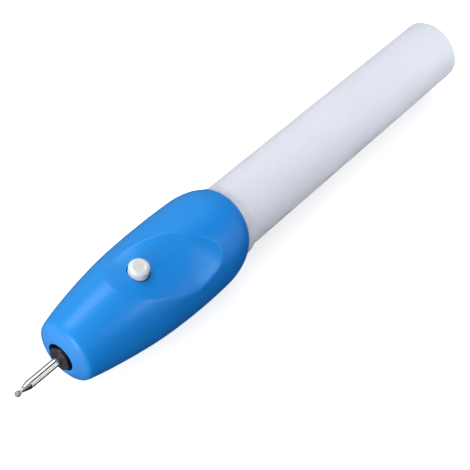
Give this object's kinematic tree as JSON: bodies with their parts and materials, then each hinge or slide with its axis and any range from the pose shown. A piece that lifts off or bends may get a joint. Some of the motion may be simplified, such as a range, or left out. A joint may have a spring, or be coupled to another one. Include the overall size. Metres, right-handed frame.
{
  "type": "electric engraving pen",
  "caption": "Cordless rotary engraving pen: bulged grip with a skewed thumb scoop and push button, slim diamond bit at the nose, screw-on battery tube behind.",
  "frame": {"origin": "middle of the bounding box seen from above, at the level of the lowest line of the grip", "axes": "+X along the pen from the bit's tip to the tail, +Z out through the push button, +Y to the left of someone looking from the tip towards the tail with the button up"},
  "size_m": [0.1656, 0.0264, 0.027],
  "materials": {
    "blue_plastic": "satin",
    "white_plastic": "satin",
    "button_plastic": "satin",
    "carrier_plastic": "matte",
    "black_plastic": "matte",
    "polished_steel": "polished",
    "diamond_grit": "matte",
    "zinc_steel": "satin",
    "core_steel": "satin",
    "enamelled_copper": "satin",
    "brass": "satin",
    "ferrite": "matte",
    "nickel_plate": "satin",
    "cell_jacket": "satin",
    "red_insulation": "satin",
    "black_insulation": "satin",
    "carbon": "matte"
  },
  "bodies": {
    "grip": {"grip_shell": "blue_plastic", "motor_carrier": "carrier_plastic", "switch_body": "black_plastic", "switch_terminal_a": "brass", "switch_terminal_b": "brass", "motor_can": "zinc_steel", "motor_end_cap": "black_plastic", "front_bushing": "brass", "magnet_left": "ferrite", "magnet_right": "ferrite", "brush_a": "carbon", "brush_b": "carbon", "motor_terminal_a": "brass", "motor_terminal_b": "brass", "positive_contact": "nickel_plate", "negative_contact": "nickel_plate", "cell_front": "cell_jacket", "cell_front_terminal": "nickel_plate", "cell_rear": "cell_jacket", "cell_rear_terminal": "nickel_plate", "wire_positive": "red_insulation", "wire_motor": "red_insulation", "wire_negative": "black_insulation"},
    "spindle": {"motor_shaft": "polished_steel", "armature_core": "core_steel", "winding_a": "enamelled_copper", "winding_b": "enamelled_copper", "winding_c": "enamelled_copper", "commutator": "enamelled_copper", "chuck": "black_plastic"},
    "bit": {"bit_shank": "polished_steel", "bit_head": "diamond_grit"},
    "button": {"button_cap": "button_plastic", "switch_plunger": "black_plastic"},
    "spring": {"tail_spring": "zinc_steel"},
    "tube": {"battery_tube": "white_plastic", "spring_plate": "nickel_plate", "tube_strip": "nickel_plate"}
  },
  "joints": [
    {"name": "spindle_spin", "type": "hinge", "parent": "grip", "child": "spindle", "pos_m": [-0.0686, 0, 0.01316], "axis": [1, 0, 0], "continuous": true},
    {"name": "bit_pull", "type": "slide", "parent": "spindle", "child": "bit", "axis": [-1, 0, 0], "range_m": [0, 0.0085]},
    {"name": "button_press", "type": "slide", "parent": "grip", "child": "button", "axis": [0, 0, -1], "range_m": [0, 0.0012], "stiffness_N_per_m": 900, "springref_m": -0.0012},
    {"name": "tube_advance", "type": "slide", "parent": "grip", "child": "spring", "axis": [1, 0, 0], "range_m": [0, 0.005], "deforming": ["tail_spring"]},
    {"name": "tube_unscrew", "type": "hinge", "parent": "spring", "child": "tube", "pos_m": [-0.0184, 0, 0.01316], "axis": [1, 0, 0], "range_deg": [0, 720]}
  ],
  "couplings": [
    {"joint": "tube_unscrew", "follows": "tube_advance", "rad_per_m": 2513.3}
  ]
}
